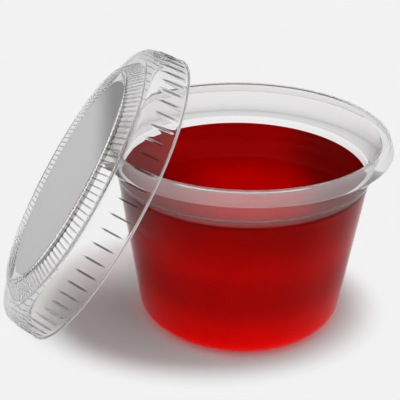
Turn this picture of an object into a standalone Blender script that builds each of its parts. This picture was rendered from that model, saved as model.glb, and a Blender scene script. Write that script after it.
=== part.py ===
"""A portion cup of clear plastic filled with red gelatine, its clear lid leaning on the rim.

The cup stands on z = 0 with its axis on the Z axis. The lid stands on its open edge and leans
towards the cup, so that the rim reaches a little way into the lid's mouth.
"""

import math

import bpy
from mathutils import Matrix, Vector

MM = 0.001

# Cup, measured over the outside of its sheet
CORNER_RADIUS = 4.5 * MM          # between the flat base and the wall
WALL_RADIUS_AT_BASE = 27.2 * MM   # wall line carried down to z = 0
WALL_TAPER = 0.131                # radius gained for each unit of height
STEP_HEIGHT = 41.3 * MM           # lower edge of the stacking step
STEP_RADIUS = 33.3 * MM
STEP_RISE = 0.9 * MM
LIP_HEIGHT = 51.2 * MM
LIP_RADIUS = 36.9 * MM
LIP_ROLL = 1.3 * MM               # radius of the roll over the top
FLANGE_RADIUS = 37.8 * MM         # lower edge of the turned-down flange
FLANGE_HEIGHT = 48.2 * MM
CUP_SHEET = 0.5 * MM

# Gelatine
JELLY_LEVEL = 40.1 * MM
JELLY_GAP = 0.3 * MM              # clearance to the cup's inner surface

# Lid, outer surface, heights measured from its open edge
LID_EDGE_RADIUS = 40.2 * MM
LID_EDGE_LIP = 0.6 * MM           # height of the small outward lip
SKIRT_FOOT_RADIUS = 39.4 * MM
SKIRT_TOP_RADIUS = 38.6 * MM
SKIRT_TOP = 6.9 * MM
SHOULDER_RADIUS = 2.6 * MM
VALLEY_RADIUS = 34.2 * MM
VALLEY_HEIGHT = 9.1 * MM
CREST_OUTER_RADIUS = 30.5 * MM
CREST_INNER_RADIUS = 29.7 * MM
CREST_HEIGHT = 12.1 * MM
CREST_ROUND = 0.3 * MM
PANEL_RADIUS = 28.2 * MM
PANEL_HEIGHT = 10.7 * MM
LID_SHEET = 0.4 * MM

# Lid, place of the open edge's centre and the way its top faces
LID_TILT = math.radians(57.0)     # from lying flat
LID_HEADING = math.radians(189.4)  # direction that its top faces, turned from +X
LID_CENTRE_X = -35.4 * MM
LID_CENTRE_Y = -5.5 * MM

# Plain round label in the lid's recess
LABEL_RADIUS = 27.6 * MM
LABEL_SHEET = 0.2 * MM
LABEL_GAP = 0.2 * MM

TURN_STEPS = 48
MERGE = 0.00001


def clear_scene():
    for obj in list(bpy.data.objects):
        bpy.data.objects.remove(obj, do_unlink=True)


def new_collection(name):
    collection = bpy.data.collections.new(name)
    bpy.context.scene.collection.children.link(collection)
    return collection


def plain_material(name, colour, roughness, alpha=1.0):
    material = bpy.data.materials.new(name)
    material.use_nodes = True
    shader = material.node_tree.nodes["Principled BSDF"]
    shader.inputs["Base Color"].default_value = (*colour, 1.0)
    shader.inputs["Roughness"].default_value = roughness
    shader.inputs["Metallic"].default_value = 0.0
    shader.inputs["Alpha"].default_value = alpha
    material.diffuse_color = (*colour, alpha)
    return material


def arc(centre_r, centre_z, radius, start, end, steps):
    """Points along an arc in the profile plane, angles in degrees from +r towards +z."""
    points = []
    for index in range(steps + 1):
        angle = math.radians(start + (end - start) * index / steps)
        points.append((centre_r + radius * math.cos(angle), centre_z + radius * math.sin(angle)))
    return points


def turn(name, profile, material, collection, sheet=0.0):
    """Turns a profile of (radius, height) about Z; with a sheet thickness it becomes a shell."""
    mesh = bpy.data.meshes.new(name)
    vertices = [(radius, 0.0, height) for radius, height in profile]
    edges = [(index, index + 1) for index in range(len(profile) - 1)]
    mesh.from_pydata(vertices, edges, [])
    obj = bpy.data.objects.new(name, mesh)
    collection.objects.link(obj)
    screw = obj.modifiers.new("Turn", "SCREW")
    screw.axis = "Z"
    screw.steps = TURN_STEPS
    screw.render_steps = TURN_STEPS
    screw.use_merge_vertices = True
    screw.merge_threshold = MERGE
    screw.use_smooth_shade = True
    if sheet:
        shell = obj.modifiers.new("Sheet", "SOLIDIFY")
        shell.thickness = sheet
        shell.offset = -1.0
        shell.use_even_offset = True
        shell.use_rim = True
    mesh.materials.append(material)
    return obj


def wall_radius(height):
    """Outer radius of the cup's tapering wall at a height."""
    return WALL_RADIUS_AT_BASE + WALL_TAPER * height


def vessel_profile(inset, level):
    """The cup's body from the wall at a level down to the axis, set in from the outer surface."""
    lean = math.degrees(math.atan(WALL_TAPER))
    corner_r = wall_radius(CORNER_RADIUS) - CORNER_RADIUS * math.hypot(1.0, WALL_TAPER)
    wall = wall_radius(level) - inset * math.hypot(1.0, WALL_TAPER)
    corner = arc(corner_r, CORNER_RADIUS, CORNER_RADIUS - inset, -lean, -90.0, 6)
    return [(wall, level)] + corner + [(0.0, inset)]


def cup_profile():
    """The underside of the flange, up and round the lip, then down the outside of the body."""
    lip_centre = LIP_RADIUS - LIP_ROLL
    lip_level = LIP_HEIGHT - LIP_ROLL
    flange = [(FLANGE_RADIUS - CUP_SHEET, FLANGE_HEIGHT)]
    lip = arc(lip_centre, lip_level, LIP_ROLL - CUP_SHEET, 0.0, 180.0, 6)
    step = [(STEP_RADIUS, STEP_HEIGHT + STEP_RISE)]
    return flange + lip + step + vessel_profile(0.0, STEP_HEIGHT)


def lid_profile():
    """The lid's outside, from the middle of its panel over the crest and shoulder to its open edge."""
    panel = [(0.0, PANEL_HEIGHT), (PANEL_RADIUS, PANEL_HEIGHT)]
    crest_middle = 0.5 * (CREST_OUTER_RADIUS + CREST_INNER_RADIUS)
    crest = [
        (CREST_INNER_RADIUS, CREST_HEIGHT - CREST_ROUND),
        (crest_middle, CREST_HEIGHT),
        (CREST_OUTER_RADIUS, CREST_HEIGHT - CREST_ROUND),
    ]
    valley = [(VALLEY_RADIUS, VALLEY_HEIGHT)]
    shoulder = arc(SKIRT_TOP_RADIUS - SHOULDER_RADIUS, SKIRT_TOP, SHOULDER_RADIUS, 100.0, 5.0, 6)
    skirt = [(SKIRT_FOOT_RADIUS, 2.0 * LID_EDGE_LIP)]
    edge = [(LID_EDGE_RADIUS, LID_EDGE_LIP), (LID_EDGE_RADIUS, 0.0)]
    return panel + crest + valley + shoulder + skirt + edge


def lid_placement():
    """Stands the lid on the lowest point of its open edge, its top facing up and away from the cup."""
    turn_over = Matrix.Rotation(LID_HEADING, 4, "Z") @ Matrix.Rotation(LID_TILT, 4, "Y")
    height = LID_EDGE_RADIUS * math.sin(LID_TILT)
    return Matrix.Translation(Vector((LID_CENTRE_X, LID_CENTRE_Y, height))) @ turn_over


def build_cup(collection):
    clear_plastic = plain_material("clear PET of the cup", (0.86, 0.87, 0.87), 0.05, 0.3)
    turn("cup", cup_profile(), clear_plastic, collection, CUP_SHEET)


def build_jelly(collection):
    gelatine = plain_material("red gelatine", (0.48, 0.0, 0.0), 0.1)
    profile = [(0.0, JELLY_LEVEL)] + vessel_profile(CUP_SHEET + JELLY_GAP, JELLY_LEVEL)
    turn("jelly", profile, gelatine, collection)


def build_lid(collection):
    clear_plastic = plain_material("clear PET of the lid", (0.86, 0.87, 0.87), 0.05, 0.3)
    grey_paper = plain_material("plain grey label", (0.5, 0.5, 0.5), 0.6)
    holder = bpy.data.objects.new("lid_holder", None)
    collection.objects.link(holder)
    holder.matrix_world = lid_placement()
    lid = turn("lid", lid_profile(), clear_plastic, collection, LID_SHEET)
    low = PANEL_HEIGHT + LABEL_GAP
    high = low + LABEL_SHEET
    outline = [(0.0, high), (LABEL_RADIUS, high), (LABEL_RADIUS, low), (0.0, low)]
    label = turn("lid_label", outline, grey_paper, collection)
    lid.parent = holder
    label.parent = holder


clear_scene()
parts = new_collection("gelatine cup")
build_cup(parts)
build_jelly(parts)
build_lid(parts)
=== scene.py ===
import math

import bpy
from mathutils import Matrix, Vector


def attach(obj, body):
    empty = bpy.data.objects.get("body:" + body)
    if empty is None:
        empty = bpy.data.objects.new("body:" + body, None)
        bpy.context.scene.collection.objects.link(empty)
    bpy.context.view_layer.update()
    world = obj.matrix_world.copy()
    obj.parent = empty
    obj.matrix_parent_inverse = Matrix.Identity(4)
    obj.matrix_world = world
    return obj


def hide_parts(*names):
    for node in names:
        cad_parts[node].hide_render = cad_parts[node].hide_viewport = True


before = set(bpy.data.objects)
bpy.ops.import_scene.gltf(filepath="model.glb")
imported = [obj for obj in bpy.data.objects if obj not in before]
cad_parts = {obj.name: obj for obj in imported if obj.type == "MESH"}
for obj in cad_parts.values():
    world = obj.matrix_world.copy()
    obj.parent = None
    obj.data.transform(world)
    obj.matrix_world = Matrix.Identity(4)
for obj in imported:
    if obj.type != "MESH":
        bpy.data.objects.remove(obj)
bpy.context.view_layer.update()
mm = 0.001


def hexColour(text):
    # sRGB hex to linear, the way a colour picker gives it
    channels = [int(text[i:i + 2], 16) / 255 for i in (1, 3, 5)]
    linear = [c / 12.92 if c <= 0.04045 else ((c + 0.055) / 1.055) ** 2.4 for c in channels]
    return (*linear, 1.0)


def addNode(tree, kind, settings=None, inputs=None):
    # settings are the node's own attributes; an input is a value or another node's socket
    node = tree.nodes.new(kind)
    for name, value in (settings or {}).items():
        setattr(node, name, value)
    for name, value in (inputs or {}).items():
        if isinstance(value, bpy.types.NodeSocket):
            tree.links.new(value, node.inputs[name])
        else:
            node.inputs[name].default_value = value
    return node


def newMaterial(name):
    material = bpy.data.materials.new(name)
    material.use_nodes = True
    tree = material.node_tree
    tree.nodes.clear()
    output = addNode(tree, "ShaderNodeOutputMaterial")
    return material, tree, output


def setStops(ramp, values):
    # values are the places and colours along a colour ramp, from its start
    stops = ramp.color_ramp.elements
    while len(stops) < len(values):
        stops.new(1.0)
    for stop, (position, colour) in zip(stops, values):
        stop.position = position
        stop.color = colour


def roundedPath(corners, segments=5):
    # corners are (radius, height, rounding) in mm; each rounded one becomes an arc
    path = []
    for index, (r, z, rounding) in enumerate(corners):
        here = Vector((r, z))
        if not rounding or index in (0, len(corners) - 1):
            path.append(here)
            continue
        before = Vector(corners[index - 1][:2]) - here
        after = Vector(corners[index + 1][:2]) - here
        half = before.angle(after) / 2
        back = rounding / math.tan(half)
        start = here + before.normalized() * back
        inwards = (before.normalized() + after.normalized()).normalized()
        centre = here + inwards * rounding / math.sin(half)
        sweep = math.pi - 2 * half
        if before.cross(after) > 0:
            sweep = -sweep
        for step in range(segments + 1):
            path.append(centre + Matrix.Rotation(sweep * step / segments, 2) @ (start - centre))
    return path


def offsetPath(path, distance):
    # a second path at one distance to the right of the first, mitred at its corners
    sharpest = 0.3
    offset = []
    for index, point in enumerate(path):
        before = (point - path[index - 1]).normalized() if index else None
        after = (path[index + 1] - point).normalized() if index < len(path) - 1 else None
        before = before or after
        after = after or before
        middle = (before + after).normalized()
        normal = Vector((middle.y, -middle.x))
        square = normal.dot(Vector((after.y, -after.x)))
        offset.append(point + normal * distance / max(sharpest, square))
    return offset


def denser(path, longest):
    # no stretch of the path longer than this, so that pressed detail has points to move
    result = [path[0]]
    for point in path[1:]:
        pieces = max(1, math.ceil((point - result[-1]).length / longest))
        start = result[-1]
        for step in range(1, pieces + 1):
            result.append(start.lerp(point, step / pieces))
    return result


def turnOutline(name, outline, steps):
    # an outline whose two ends lie on the axis, turned into a closed body; sizes in mm
    onAxis = 1e-6
    vertices = []
    rings = []
    for point in outline:
        if abs(point.x) < onAxis:
            rings.append([len(vertices)])
            vertices.append((0, 0, point.y * mm))
            continue
        rings.append(list(range(len(vertices), len(vertices) + steps)))
        radius = point.x * mm
        for step in range(steps):
            angle = 2 * math.pi * step / steps
            vertices.append((radius * math.cos(angle), radius * math.sin(angle), point.y * mm))
    faces = []
    for upper, lower in zip(rings, rings[1:]):
        for step in range(steps):
            after = (step + 1) % steps
            if len(upper) == 1:
                faces.append((upper[0], lower[step], lower[after]))
            elif len(lower) == 1:
                faces.append((upper[step], lower[0], upper[after]))
            else:
                faces.append((upper[step], lower[step], lower[after], upper[after]))
    mesh = bpy.data.meshes.new(name)
    mesh.from_pydata(vertices, [], faces)
    mesh.validate()
    mesh.shade_smooth()
    piece = bpy.data.objects.new(name, mesh)
    bpy.context.scene.collection.objects.link(piece)
    return piece


def finishPiece(piece, node):
    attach(piece, "root")
    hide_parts(node)


clearSheet = {
    "ior": 1.16,             # far below a block of PET, as so thin a sheet hardly shifts what is behind it
    "roughness": 0.02,
    "mirror": "#BCBCBC",
    "tint": "#FEFEFE",
    # painted shade: the sheet turns grey where it is seen edge on
    "edgeShadeTint": "#828686",
    "edgeBlend": 0.14,
    # painted shade: the dark line along the crest of each rib and flute
    "ridgeShadeTint": "#5C5C5C",
    "hazeAndSheen": "#F6F4F4",
    "cutHaze": 0.8,
}


def makeClearPet(name, shadowTint, hazeAndSheenLevels):
    # PET sheet, vacuum formed: clear on the flat; painted shade greys it where it is seen edge on and along
    # the crests of its ribs and flutes;
    # the milky film given by height is a painted sheen on the cup's rim and step, and the sheet is white at
    # a cut
    # the levels are heights in mm above the table, each with the share of milky film there; where that share
    # rises towards the cup's rim it is painted sheen
    material, tree, output = newMaterial(name)
    edge = addNode(tree, "ShaderNodeLayerWeight", inputs={"Blend": clearSheet["edgeBlend"]})
    tint = addNode(tree, "ShaderNodeMix", {"data_type": "RGBA"}, {
        "Factor": edge.outputs["Facing"],
        6: hexColour(clearSheet["tint"]),
        7: hexColour(clearSheet["edgeShadeTint"]),
    })
    # painted shade along the crests of ribs and flutes
    rib = addNode(tree, "ShaderNodeAttribute", {"attribute_name": "rib"})
    flute = addNode(tree, "ShaderNodeAttribute", {"attribute_name": "flute"})
    ridgeShadeLine = addNode(tree, "ShaderNodeMath", {"operation": "MAXIMUM", "use_clamp": True}, {
        0: rib.outputs["Fac"], 1: flute.outputs["Fac"]})
    ridgeShaded = addNode(tree, "ShaderNodeMix", {"data_type": "RGBA"}, {
        "Factor": ridgeShadeLine.outputs[0], 6: tint.outputs[2], 7: hexColour(clearSheet["ridgeShadeTint"])})
    shader = addNode(tree, "ShaderNodeBsdfPrincipled", inputs={
        "Base Color": ridgeShaded.outputs[2],
        "Roughness": clearSheet["roughness"],
        "IOR": clearSheet["ior"],
        "Transmission Weight": 1.0,
        "Specular Tint": hexColour(clearSheet["mirror"]),
    })
    place = addNode(tree, "ShaderNodeTexCoord")
    split = addNode(tree, "ShaderNodeSeparateXYZ", inputs={0: place.outputs["Object"]})
    # milky film by height: faint haze of the sheet, and a painted sheen on the cup's rim and step
    highest = hazeAndSheenLevels[-1][0]
    height = addNode(tree, "ShaderNodeMapRange", inputs={
        "Value": split.outputs["Z"], "From Max": highest * mm})
    hazeAndSheenByHeight = addNode(tree, "ShaderNodeValToRGB", inputs={"Fac": height.outputs[0]})
    setStops(hazeAndSheenByHeight, [(level / highest, (share, share, share, 1.0)) for level, share in hazeAndSheenLevels])
    cut = addNode(tree, "ShaderNodeAttribute", {"attribute_name": "cut"})
    cutMilk = addNode(tree, "ShaderNodeMath", {"operation": "MULTIPLY"}, {
        0: cut.outputs["Fac"], 1: clearSheet["cutHaze"]})
    milkShare = addNode(tree, "ShaderNodeMath", {"operation": "ADD", "use_clamp": True}, {
        0: hazeAndSheenByHeight.outputs["Color"], 1: cutMilk.outputs[0]})
    milk = addNode(tree, "ShaderNodeBsdfDiffuse", inputs={"Color": hexColour(clearSheet["hazeAndSheen"])})
    sheet = addNode(tree, "ShaderNodeMixShader", inputs={
        0: milkShare.outputs[0], 1: shader.outputs[0], 2: milk.outputs[0]})
    lampsThrough = addNode(tree, "ShaderNodeBsdfTransparent", inputs={"Color": hexColour(shadowTint)})
    path = addNode(tree, "ShaderNodeLightPath")
    mix = addNode(tree, "ShaderNodeMixShader", inputs={
        0: path.outputs["Is Shadow Ray"], 1: sheet.outputs[0], 2: lampsThrough.outputs[0]})
    tree.links.new(mix.outputs[0], output.inputs["Surface"])
    return material


jellyLook = {
    # painted light and shade: mm above the table and the colour there, bright at the lit foot, in lighter
    # and darker bands up to the level
    "lightAndShadeTones": [(2, "#FF0000"), (6, "#FF0000"), (10, "#EE0000"), (12.5, "#D80000"), (16, "#C60000"),
                   (21, "#CC0000"), (26, "#E20000"), (31, "#DA0000"), (36, "#C60000"), (39, "#B60000")],
    # painted shade: the top is a darker red than the wall below it
    "top": "#900000",
    "topShade": "#650000",   # where the top lies in the wall's shade
    "topGlow": "#B40000",    # where light gathers at the front of the top
    "glowPlace": (2.0, -10.0),
    "glowReach": (20.0, 6.0),
    "footGlow": 0.38,        # the lens of the round foot gathers light that no lamp here follows
    "footGlowTop": 7.0,
    "shadeFrom": (8.0, 22.0),
    "topBelow": (1.0, 0.6),  # mm under the level between which the wall's tones become the top's
    "cloud": 0.06,           # how much the tone drifts inside
    "cloudSize": 9.0,
    "cloudSpread": (0.3, 0.7),
    "scatter": 0.12,
    "scatterReach": 5.0,     # mm that red light travels inside
    "scatterShares": (1.0, 0.05, 0.05),
    "ior": 1.36,
    "gloss": 0.012,
    "roughness": 0.06,
    "shadowTint": "#8A0400",
}


def makeGelatine():
    # gelatine set from a red juice: deep red with hardly any gloss, lit up at its foot and at the front
    # of its top, where light gathers
    material, tree, output = newMaterial("set gelatine")
    look = jellyLook
    place = addNode(tree, "ShaderNodeTexCoord")
    split = addNode(tree, "ShaderNodeSeparateXYZ", inputs={0: place.outputs["Object"]})
    # painted light and shade down the wall, by height
    highest = look["lightAndShadeTones"][-1][0]
    toneHeight = addNode(tree, "ShaderNodeMapRange", inputs={
        "Value": split.outputs["Z"], "From Max": highest * mm})
    ramp = addNode(tree, "ShaderNodeValToRGB", inputs={"Fac": toneHeight.outputs[0]})
    setStops(ramp, [(height / highest, hexColour(tone)) for height, tone in look["lightAndShadeTones"]])
    shadeFrom, shadeTo = look["shadeFrom"]
    shade = addNode(tree, "ShaderNodeMapRange", {"interpolation_type": "SMOOTHSTEP"}, {
        "Value": split.outputs["X"], "From Min": shadeFrom * mm, "From Max": shadeTo * mm})
    top = addNode(tree, "ShaderNodeMix", {"data_type": "RGBA"}, {
        "Factor": shade.outputs[0], 6: hexColour(look["top"]), 7: hexColour(look["topShade"])})
    glowX, glowY = look["glowPlace"]
    away = addNode(tree, "ShaderNodeVectorMath", {"operation": "DISTANCE"}, {
        0: place.outputs["Object"], 1: (glowX * mm, glowY * mm, jellySizes["level"] * mm)})
    outer, inner = look["glowReach"]
    pool = addNode(tree, "ShaderNodeMapRange", {"interpolation_type": "SMOOTHSTEP"}, {
        "Value": away.outputs["Value"], "From Min": outer * mm, "From Max": inner * mm})
    litTop = addNode(tree, "ShaderNodeMix", {"data_type": "RGBA"}, {
        "Factor": pool.outputs[0], 6: top.outputs[2], 7: hexColour(look["topGlow"])})
    topFrom, topTo = (jellySizes["level"] - below for below in look["topBelow"])
    level = addNode(tree, "ShaderNodeMapRange", inputs={
        "Value": split.outputs["Z"], "From Min": topFrom * mm, "From Max": topTo * mm})
    body = addNode(tree, "ShaderNodeMix", {"data_type": "RGBA"}, {
        "Factor": level.outputs[0], 6: ramp.outputs["Color"], 7: litTop.outputs[2]})
    cloud = addNode(tree, "ShaderNodeTexNoise", inputs={
        "Vector": place.outputs["Object"], "Scale": 1000.0 / look["cloudSize"], "Detail": 2.0})
    spreadFrom, spreadTo = look["cloudSpread"]
    drift = addNode(tree, "ShaderNodeMapRange", inputs={
        "Value": cloud.outputs["Fac"], "From Min": spreadFrom, "From Max": spreadTo,
        "To Min": 1.0 - look["cloud"], "To Max": 1.0 + look["cloud"]})
    tone = addNode(tree, "ShaderNodeVectorMath", {"operation": "SCALE"}, {
        0: body.outputs[2], "Scale": drift.outputs[0]})
    foot = addNode(tree, "ShaderNodeMapRange", {"interpolation_type": "SMOOTHSTEP"}, {
        "Value": split.outputs["Z"],
        "From Min": look["footGlowTop"] * mm,
        "From Max": 0.0,
        "To Max": look["footGlow"],
    })
    shader = addNode(tree, "ShaderNodeBsdfPrincipled", inputs={
        "Base Color": tone.outputs[0],
        "Emission Color": tone.outputs[0],
        "Emission Strength": foot.outputs[0],
        "Roughness": look["roughness"],
        "IOR": look["ior"],
        "Specular IOR Level": look["gloss"],
        "Subsurface Weight": look["scatter"],
        "Subsurface Radius": look["scatterShares"],
        "Subsurface Scale": look["scatterReach"] * mm,
    })
    lampsThrough = addNode(tree, "ShaderNodeBsdfTransparent", inputs={
        "Color": hexColour(look["shadowTint"])})
    path = addNode(tree, "ShaderNodeLightPath")
    mix = addNode(tree, "ShaderNodeMixShader", inputs={
        0: path.outputs["Is Shadow Ray"], 1: shader.outputs[0], 2: lampsThrough.outputs[0]})
    tree.links.new(mix.outputs[0], output.inputs["Surface"])
    return material


labelLook = {
    "tones": ("#BEBEBE", "#C6C6C6"),
    "shade": "#858585",
    "shadeFrom": (49.0, 60.0),   # mm above the table: the upper end is darker
    "fibre": 0.7,            # mm; coarser than real fibres, so that the mottle shows
    "roughness": 0.75,
}


def makeGreyLabel():
    # uncoated grey paper: flat and matt, with a faint fibre mottle, shaded towards its upper end
    material, tree, output = newMaterial("grey label paper")
    place = addNode(tree, "ShaderNodeTexCoord")
    fibre = addNode(tree, "ShaderNodeTexNoise", inputs={
        "Vector": place.outputs["Object"], "Scale": 1000.0 / labelLook["fibre"], "Detail": 3.0})
    dark, light = labelLook["tones"]
    tone = addNode(tree, "ShaderNodeMix", {"data_type": "RGBA"}, {
        "Factor": fibre.outputs["Fac"], 6: hexColour(dark), 7: hexColour(light)})
    split = addNode(tree, "ShaderNodeSeparateXYZ", inputs={0: place.outputs["Object"]})
    low, high = labelLook["shadeFrom"]
    upper = addNode(tree, "ShaderNodeMapRange", {"interpolation_type": "SMOOTHSTEP"}, {
        "Value": split.outputs["Z"], "From Min": low * mm, "From Max": high * mm})
    shaded = addNode(tree, "ShaderNodeMix", {"data_type": "RGBA"}, {
        "Factor": upper.outputs[0], 6: tone.outputs[2], 7: hexColour(labelLook["shade"])})
    shader = addNode(tree, "ShaderNodeBsdfPrincipled", inputs={
        "Base Color": shaded.outputs[2], "Roughness": labelLook["roughness"]})
    tree.links.new(shader.outputs[0], output.inputs["Surface"])
    return material


cupSizes = {
    "sheet": 0.5,
    "wallAtBase": 27.2,      # wall line carried down to z = 0
    "taper": 0.131,
    "corner": 4.5,
    "stepLevel": 41.3,
    "stepRadius": 33.3,
    "stepRise": 0.9,
    "stepRounding": 0.5,
    "shelfRounding": 0.35,   # where the step's shelf turns up into the lip's wall
    "lipTop": 51.2,
    "lipRadius": 36.9,
    "lipWidth": 2.6,
    "lipRounding": 0.75,
    "flangeRadius": 37.8,
    "flangeLevel": 48.2,
    # painted sheen: the milky share rises from the gelatine's level to the flange, in place of the lamp's
    # sheen on the step and rim
    "hazeAndSheen": [(40.2, 0.0), (40.7, 0.045), (46.0, 0.06), (48.3, 0.10)],
    "cutBulge": ((0.8, 0.12), (0.5, 0.18), (0.2, 0.12)),  # share across the cut edge, and its bulge there
    "arcSegments": 8,
    "turns": 256,
}


def cupOutside():
    s = cupSizes
    sheet = s["sheet"]
    wallAtStep = s["wallAtBase"] + s["taper"] * s["stepLevel"]
    return roundedPath([
        (s["flangeRadius"] - sheet, s["flangeLevel"], 0),
        (s["lipRadius"] - sheet, s["lipTop"] - sheet, s["lipRounding"]),
        (s["lipRadius"] - s["lipWidth"] + sheet, s["lipTop"] - sheet, s["lipRounding"]),
        (s["stepRadius"], s["stepLevel"] + s["stepRise"], s["shelfRounding"]),
        (wallAtStep, s["stepLevel"], s["stepRounding"]),
        (s["wallAtBase"], 0, s["corner"]),
        (0, 0, 0),
    ], s["arcSegments"])


def makeCup(material):
    outside = cupOutside()
    inside = offsetPath(outside, cupSizes["sheet"])
    cutEdge = []
    for share, bulge in cupSizes["cutBulge"]:
        cutEdge.append(outside[0].lerp(inside[0], share) - Vector((0, bulge)))
    inside[-1].x = 0
    outline = inside[::-1] + cutEdge + outside
    piece = turnOutline("cupShell", outline, cupSizes["turns"])
    piece.data.materials.append(material)
    finishPiece(piece, "cup")


jellySizes = {
    "level": 40.1,
    "meniscus": 0.5,         # rise where it wets the wall
    "meniscusReach": 3.2,
    "meniscusFall": 0.9,     # distance from the wall in which the rise falls to about a third
    "meniscusSteps": 8,
    "intoWall": 0.12,        # how far it reaches into the sheet, so that no air shows
    "arcSegments": 10,
    "turns": 256,
}


def makeJelly(material):
    s = cupSizes
    inset = s["sheet"] - jellySizes["intoWall"]
    lean = math.hypot(1, s["taper"])
    level = jellySizes["level"]
    rise = jellySizes["meniscus"]
    steps = jellySizes["meniscusSteps"]
    rim = s["wallAtBase"] + s["taper"] * level - inset * lean
    base = s["wallAtBase"] - inset * lean + s["taper"] * inset
    corners = [(rim, level, 0), (base, inset, s["corner"] - inset), (0, inset, 0)]
    wall = roundedPath(corners, jellySizes["arcSegments"])
    top = [Vector((0, level - rise))]
    for step in range(steps + 1):
        away = jellySizes["meniscusReach"] * (1 - step / steps)
        fall = rise * (1 - math.exp(-away / jellySizes["meniscusFall"]))
        top.append(Vector((rim - away, level - fall)))
    outline = top + wall[1:]
    piece = turnOutline("jellyBody", outline, jellySizes["turns"])
    piece.data.materials.append(material)
    finishPiece(piece, "jelly")


lidSizes = {
    "sheet": 0.4,
    "panelLevel": 10.7,
    "panelRadius": 28.2,
    "panelMiddle": 14.0,     # a ring of points halfway, so that no face gets too long
    "crestInner": 29.6,
    "crestOuter": 30.6,
    "crestLevel": 12.1,
    "crestRounding": 0.35,
    "valleyRadius": 33.9,
    "valleyLevel": 9.1,
    "valleyRounding": 0.3,
    "riseWidth": 1.6,        # from the valley's foot out to the shoulder's flat
    "riseRounding": 0.8,
    "shoulderTop": 9.5,
    "shoulderInset": 0.2,
    "shoulderRounding": 2.2,
    "skirtTopRadius": 38.6,
    "skirtFootRadius": 39.75,
    "skirtFootRounding": 0.3,
    "edgeRadius": 40.15,
    "edgeLip": 0.4,
    "edgeRounding": 0.15,
    "cutEdge": 0.35,         # how far up the sheet the trimmed edge looks white
    "restRadius": 40.2,      # the edge it stands on
    "tilt": 57.0,
    "heading": 189.4,
    "centre": (-35.4, -5.5),
    "hazeAndSheen": [(0.0, 0.02), (70.0, 0.02)],
    "arcSegments": 3,
    "longest": 1.0,          # stretch of the outline without a point
    "turns": 792,            # twelve points to a rib, six to a flute
}
ribs = {  # short upright ribs round the skirt; sizes in mm
    "Count": 66.0,
    "Height": 0.3,
    "Half Width": 0.4,
    "Inner": 37.0,
    "Outer": 42.0,
    "Low": 0.9,
    "High": 7.0,
    "Fade": 1.3,
    # the next two give the painted shade line on each crest: its strength and its half width
    "Mark": 1.4,
    "Line": 0.26,
}
flutes = {  # fine flutes down the cone between the crest and the shoulder; sizes in mm
    "Count": 132.0,
    "Height": 0.25,
    "Half Width": 0.6,
    "Inner": 30.2,
    "Outer": 34.1,
    "Low": 7.0,
    "High": 14.0,
    "Fade": 0.5,
    # the next two give the painted shade line on each crest: its strength and its half width
    "Mark": 0.85,
    "Line": 0.24,
}


def lidPlacement():
    # stands the lid on the lowest point of its open edge, its top facing up and away from the cup
    tilt = math.radians(lidSizes["tilt"])
    heading = math.radians(lidSizes["heading"])
    x, y = lidSizes["centre"]
    centre = Vector((x, y, lidSizes["restRadius"] * math.sin(tilt)))
    return Matrix.Translation(centre * mm) @ Matrix.Rotation(heading, 4, "Z") @ Matrix.Rotation(tilt, 4, "Y")


def lidOutside():
    s = lidSizes
    return roundedPath([
        (0, s["panelLevel"], 0),
        (s["panelRadius"], s["panelLevel"], s["crestRounding"]),
        (s["crestInner"], s["crestLevel"], s["crestRounding"]),
        (s["crestOuter"], s["crestLevel"], s["crestRounding"]),
        (s["valleyRadius"], s["valleyLevel"], s["valleyRounding"]),
        (s["valleyRadius"] + s["riseWidth"], s["shoulderTop"], s["riseRounding"]),
        (s["skirtTopRadius"] - s["shoulderInset"], s["shoulderTop"], s["shoulderRounding"]),
        (s["skirtFootRadius"], 2 * s["edgeLip"], s["skirtFootRounding"]),
        (s["edgeRadius"], s["edgeLip"], s["edgeRounding"]),
        (s["edgeRadius"], 0, 0),
    ], s["arcSegments"])


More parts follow.
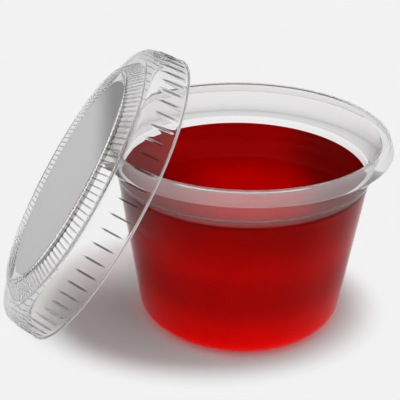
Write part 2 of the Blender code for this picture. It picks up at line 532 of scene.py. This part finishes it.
def ridgeTree():
    # pushes a turned sheet outwards in ridges that repeat round its axis, and stores a painted dark line
    # along their crests
    tree = bpy.data.node_groups.new("ridgesRoundAxis", "GeometryNodeTree")
    tree.interface.new_socket("Geometry", in_out="OUTPUT", socket_type="NodeSocketGeometry")
    tree.interface.new_socket("Geometry", in_out="INPUT", socket_type="NodeSocketGeometry")
    for socket in ("Count", "Height", "Half Width", "Inner", "Outer", "Low", "High", "Fade", "Mark", "Line"):
        tree.interface.new_socket(socket, in_out="INPUT", socket_type="NodeSocketFloat")
    tree.interface.new_socket("Attribute", in_out="INPUT", socket_type="NodeSocketString")
    tree.interface.new_socket("Material", in_out="INPUT", socket_type="NodeSocketMaterial")
    given = addNode(tree, "NodeGroupInput").outputs
    place = addNode(tree, "GeometryNodeInputPosition").outputs[0]
    x, y, z = addNode(tree, "ShaderNodeSeparateXYZ", inputs={0: place}).outputs
    flat = addNode(tree, "ShaderNodeCombineXYZ", inputs={0: x, 1: y}).outputs[0]
    radius = addNode(tree, "ShaderNodeVectorMath", {"operation": "LENGTH"}, {0: flat}).outputs["Value"]
    outward = addNode(tree, "ShaderNodeVectorMath", {"operation": "NORMALIZE"}, {0: flat}).outputs[0]
    known = {socket.name: socket for socket in given}
    known.update({"x": x, "y": y, "z": z, "radius": radius})
    # each line names a result, then how it follows from two named values or numbers
    steps = (
        ("pitch", "DIVIDE", 2 * math.pi, "Count"),
        ("angle", "ARCTAN2", "y", "x"),
        ("turned", "DIVIDE", "angle", "pitch"),
        ("fromLine", "PINGPONG", "turned", 0.5),
        ("fromLineAngle", "MULTIPLY", "fromLine", "pitch"),
        ("away", "MULTIPLY", "fromLineAngle", "radius"),
        ("slope", "DIVIDE", "away", "Half Width"),
        ("ridge", "SUBTRACT", 1.0, "slope"),
        ("pastInner", "SUBTRACT", "radius", "Inner"),
        ("beforeOuter", "SUBTRACT", "Outer", "radius"),
        ("aboveLow", "SUBTRACT", "z", "Low"),
        ("belowHigh", "SUBTRACT", "High", "z"),
        ("insideRing", "MINIMUM", "pastInner", "beforeOuter"),
        ("insideBand", "MINIMUM", "aboveLow", "belowHigh"),
        ("inside", "MINIMUM", "insideRing", "insideBand"),
        ("share", "DIVIDE", "inside", "Fade"),
        ("pressed", "MULTIPLY", "ridge", "share"),
        ("push", "MULTIPLY", "pressed", "Height"),
        ("offLine", "DIVIDE", "away", "Line"),
        ("onLine", "SUBTRACT", "share", "offLine"),
        ("lineShade", "MULTIPLY", "Mark", "onLine"),
    )
    for name, operation, first, second in steps:
        settings = {"operation": operation, "use_clamp": name in ("ridge", "share")}
        values = {0: known.get(first, first), 1: known.get(second, second)}
        known[name] = addNode(tree, "ShaderNodeMath", settings, values).outputs[0]
    move = addNode(tree, "ShaderNodeVectorMath", {"operation": "SCALE"}, {
        0: outward, "Scale": known["push"]})
    shift = addNode(tree, "GeometryNodeSetPosition", inputs={
        "Geometry": given["Geometry"], "Offset": move.outputs[0]})
    # the painted shade line is above zero on the ridge's own crest and thins towards its two ends
    store = addNode(tree, "GeometryNodeStoreNamedAttribute", {"data_type": "FLOAT", "domain": "POINT"}, {
        "Geometry": shift.outputs[0], "Name": given["Attribute"], "Value": known["lineShade"]})
    real = addNode(tree, "GeometryNodeRealizeInstances", inputs={"Geometry": store.outputs[0]})
    finish = addNode(tree, "GeometryNodeSetMaterial", inputs={
        "Geometry": real.outputs[0], "Material": given["Material"]})
    addNode(tree, "NodeGroupOutput", inputs={"Geometry": finish.outputs[0]})
    return tree


def pressRidges(piece, tree, material, name, values):
    modifier = piece.modifiers.new("ridges", "NODES")
    modifier.node_group = tree
    for socket in tree.interface.items_tree:
        if socket.name == "Material":
            modifier[socket.identifier] = material
        elif socket.name == "Attribute":
            modifier[socket.identifier] = name
        elif socket.name in values:
            size = values[socket.name]
            modifier[socket.identifier] = size if socket.name in ("Count", "Mark") else size * mm
    piece.update_tag()
    settled = piece.evaluated_get(bpy.context.evaluated_depsgraph_get())
    mesh = bpy.data.meshes.new_from_object(settled)
    piece.modifiers.remove(modifier)
    piece.data = mesh


def makeLid(material):
    outside = denser(lidOutside()[1:], lidSizes["longest"])
    inside = offsetPath(outside, lidSizes["sheet"])
    inside = [Vector((point.x, max(0.0, point.y))) for point in inside]
    level = lidSizes["panelLevel"]
    middle = lidSizes["panelMiddle"]
    centreTop = [Vector((0, level)), Vector((middle, level))]
    under = level - lidSizes["sheet"]
    centreUnder = [Vector((middle, under)), Vector((0, under))]
    outline = centreTop + outside + inside[::-1] + centreUnder
    piece = turnOutline("lidShell", outline, lidSizes["turns"])
    cut = piece.data.attributes.new("cut", "FLOAT", "POINT")
    for vertex, value in zip(piece.data.vertices, cut.data):
        value.value = max(0.0, 1.0 - vertex.co.z / (lidSizes["cutEdge"] * mm))
    tree = ridgeTree()
    pressRidges(piece, tree, material, "rib", ribs)
    pressRidges(piece, tree, material, "flute", flutes)
    piece.data.transform(lidPlacement())
    piece.data.shade_smooth()
    finishPiece(piece, "lid")


labelSizes = {
    "radius": 27.6,
    "thickness": 0.12,
    "rounding": 0.05,
    "above": 0.2,            # clearance to the panel
    "arcSegments": 2,
    "turns": 160,
}


def makeLabel(material):
    low = lidSizes["panelLevel"] + labelSizes["above"]
    high = low + labelSizes["thickness"]
    radius = labelSizes["radius"]
    rounding = labelSizes["rounding"]
    corners = [(0, high, 0), (radius, high, rounding), (radius, low, rounding), (0, low, 0)]
    outline = roundedPath(corners, labelSizes["arcSegments"])
    piece = turnOutline("lidLabel", outline, labelSizes["turns"])
    piece.data.transform(lidPlacement())
    piece.data.materials.append(material)
    finishPiece(piece, "lid_label")


stageLook = {
    "boardColour": "#F2F2F2",
    "footColour": "#D6F2F2",         # keeps the red that the lit foot throws on the board down
    "footReach": (28.0, 42.0),       # mm from the cup's axis
    "boardSize": 6.0,                # m
    "boardDrop": 0.2,                # mm under the table's level, so that no piece lies in it
    "shadowCentre": (-12.0, 0.0),    # mm; the oval round the object that keeps its shadow
    "shadowRadii": (53.0, 40.0),
    "shadowFade": (0.72, 1.02),      # share of those radii between shadow and bare board
    "skyStrength": 0.76,
    "cardTowards": (0.0, 0.906, 0.423),
    "cardEdge": (0.925, 0.965),      # cosine of the angle from its middle
    "cardStrength": 0.02,
}


def seenRays(tree):
    # one for rays that the camera sends, straight on or through clear pieces
    path = addNode(tree, "ShaderNodeLightPath").outputs
    some = addNode(tree, "ShaderNodeMath", {"operation": "MAXIMUM"}, {
        0: path["Is Camera Ray"], 1: path["Is Transmission Ray"]})
    return some.outputs[0]


def makeStage():
    # matt white board: it takes the object's shadow close by, and is bare backdrop colour beyond
    material, tree, output = newMaterial("matt white board")
    colour = hexColour(stageLook["boardColour"])
    place = addNode(tree, "ShaderNodeTexCoord")
    fromAxis = addNode(tree, "ShaderNodeVectorMath", {"operation": "LENGTH"}, {0: place.outputs["Object"]})
    reachFrom, reachTo = stageLook["footReach"]
    clear = addNode(tree, "ShaderNodeMapRange", {"interpolation_type": "SMOOTHSTEP"}, {
        "Value": fromAxis.outputs["Value"], "From Min": reachFrom * mm, "From Max": reachTo * mm})
    near = addNode(tree, "ShaderNodeMix", {"data_type": "RGBA"}, {
        "Factor": clear.outputs[0], 6: hexColour(stageLook["footColour"]), 7: colour})
    board = addNode(tree, "ShaderNodeBsdfDiffuse", inputs={"Color": near.outputs[2]})
    bare = addNode(tree, "ShaderNodeEmission", inputs={"Color": colour})
    centreX, centreY = stageLook["shadowCentre"]
    radiusX, radiusY = stageLook["shadowRadii"]
    scaled = addNode(tree, "ShaderNodeMapping", {"vector_type": "TEXTURE"}, {
        "Vector": place.outputs["Object"], "Location": (centreX * mm, centreY * mm, 0.0),
        "Scale": (radiusX * mm, radiusY * mm, 1.0)})
    share = addNode(tree, "ShaderNodeVectorMath", {"operation": "LENGTH"}, {0: scaled.outputs[0]})
    fadeFrom, fadeTo = stageLook["shadowFade"]
    beyond = addNode(tree, "ShaderNodeMapRange", {"interpolation_type": "SMOOTHSTEP"}, {
        "Value": share.outputs["Value"], "From Min": fadeFrom, "From Max": fadeTo})
    shown = addNode(tree, "ShaderNodeMath", {"operation": "MULTIPLY"}, {
        0: beyond.outputs[0], 1: seenRays(tree)})
    mix = addNode(tree, "ShaderNodeMixShader", inputs={
        0: shown.outputs[0], 1: board.outputs[0], 2: bare.outputs[0]})
    tree.links.new(mix.outputs[0], output.inputs["Surface"])
    half = stageLook["boardSize"] / 2
    mesh = bpy.data.meshes.new("floor")
    corners = [(-half, -half, 0), (half, -half, 0), (half, half, 0), (-half, half, 0)]
    mesh.from_pydata(corners, [], [(0, 1, 2, 3)])
    floor = bpy.data.objects.new("floor", mesh)
    floor.data.materials.append(material)
    floor.location.z = -stageLook["boardDrop"] * mm
    bpy.context.scene.collection.objects.link(floor)


def makeSky():
    # an even white studio all round, with one black card behind the set that keeps the gelatine's top dark
    world = bpy.data.worlds.new("studio")
    bpy.context.scene.world = world
    world.use_nodes = True
    tree = world.node_tree
    tree.nodes.clear()
    output = addNode(tree, "ShaderNodeOutputWorld")
    place = addNode(tree, "ShaderNodeTexCoord")
    towards = addNode(tree, "ShaderNodeVectorMath", {"operation": "DOT_PRODUCT"}, {
        0: place.outputs["Generated"], 1: stageLook["cardTowards"]})
    outer, inner = stageLook["cardEdge"]
    strength = addNode(tree, "ShaderNodeMapRange", {"interpolation_type": "SMOOTHSTEP"}, {
        "Value": towards.outputs["Value"], "From Min": outer, "From Max": inner,
        "To Min": stageLook["skyStrength"], "To Max": stageLook["cardStrength"]})
    studio = addNode(tree, "ShaderNodeBackground", inputs={"Strength": strength.outputs[0]})
    backdrop = addNode(tree, "ShaderNodeBackground", inputs={"Color": hexColour(stageLook["boardColour"])})
    path = addNode(tree, "ShaderNodeLightPath")
    mix = addNode(tree, "ShaderNodeMixShader", inputs={
        0: path.outputs["Is Camera Ray"], 1: studio.outputs[0], 2: backdrop.outputs[0]})
    tree.links.new(mix.outputs[0], output.inputs["Surface"])


lamps = {
    "overhead": {"place": (-0.36, 0.14, 0.68), "target": (0, 0, 0.02), "size": 0.5, "power": 2.2},
}


def makeLamps():
    for name, settings in lamps.items():
        data = bpy.data.lights.new(name, "AREA")
        data.shape = "DISK"
        data.size = settings["size"]
        data.energy = settings["power"]
        lamp = bpy.data.objects.new(name, data)
        lamp.location = settings["place"]
        towards = Vector(settings["target"]) - lamp.location
        lamp.rotation_euler = towards.to_track_quat("-Z", "Y").to_euler()
        bpy.context.scene.collection.objects.link(lamp)


cameraSettings = {
    "place": (0.0, -0.1972, 0.1313),
    "target": (-0.01184, 0.01461, 0.023),
    "lens": 74.96,
    "sensorWidth": 36.0,
    "nearest": 0.01,
    "roll": 0.425,
}


def makeCamera():
    data = bpy.data.cameras.new("camera")
    data.lens = cameraSettings["lens"]
    data.sensor_width = cameraSettings["sensorWidth"]
    data.clip_start = cameraSettings["nearest"]
    camera = bpy.data.objects.new("camera", data)
    place = Vector(cameraSettings["place"])
    look = (Vector(cameraSettings["target"]) - place).to_track_quat("-Z", "Y").to_matrix().to_4x4()
    roll = Matrix.Rotation(math.radians(cameraSettings["roll"]), 4, "Z")
    camera.matrix_world = Matrix.Translation(place) @ look @ roll
    bpy.context.scene.collection.objects.link(camera)
    bpy.context.scene.camera = camera


makeCamera()
makeStage()
makeSky()
makeLamps()
print("stage, light and camera are in place")
makeCup(makeClearPet("thermoformed PET of the cup", "#FBFBFB", cupSizes["hazeAndSheen"]))
print("cup made")
makeJelly(makeGelatine())
print("gelatine made")
makeLid(makeClearPet("thermoformed PET of the lid", "#DADADA", lidSizes["hazeAndSheen"]))
makeLabel(makeGreyLabel())
print("lid and label made")

bpy.context.scene.view_settings.view_transform = "Standard"
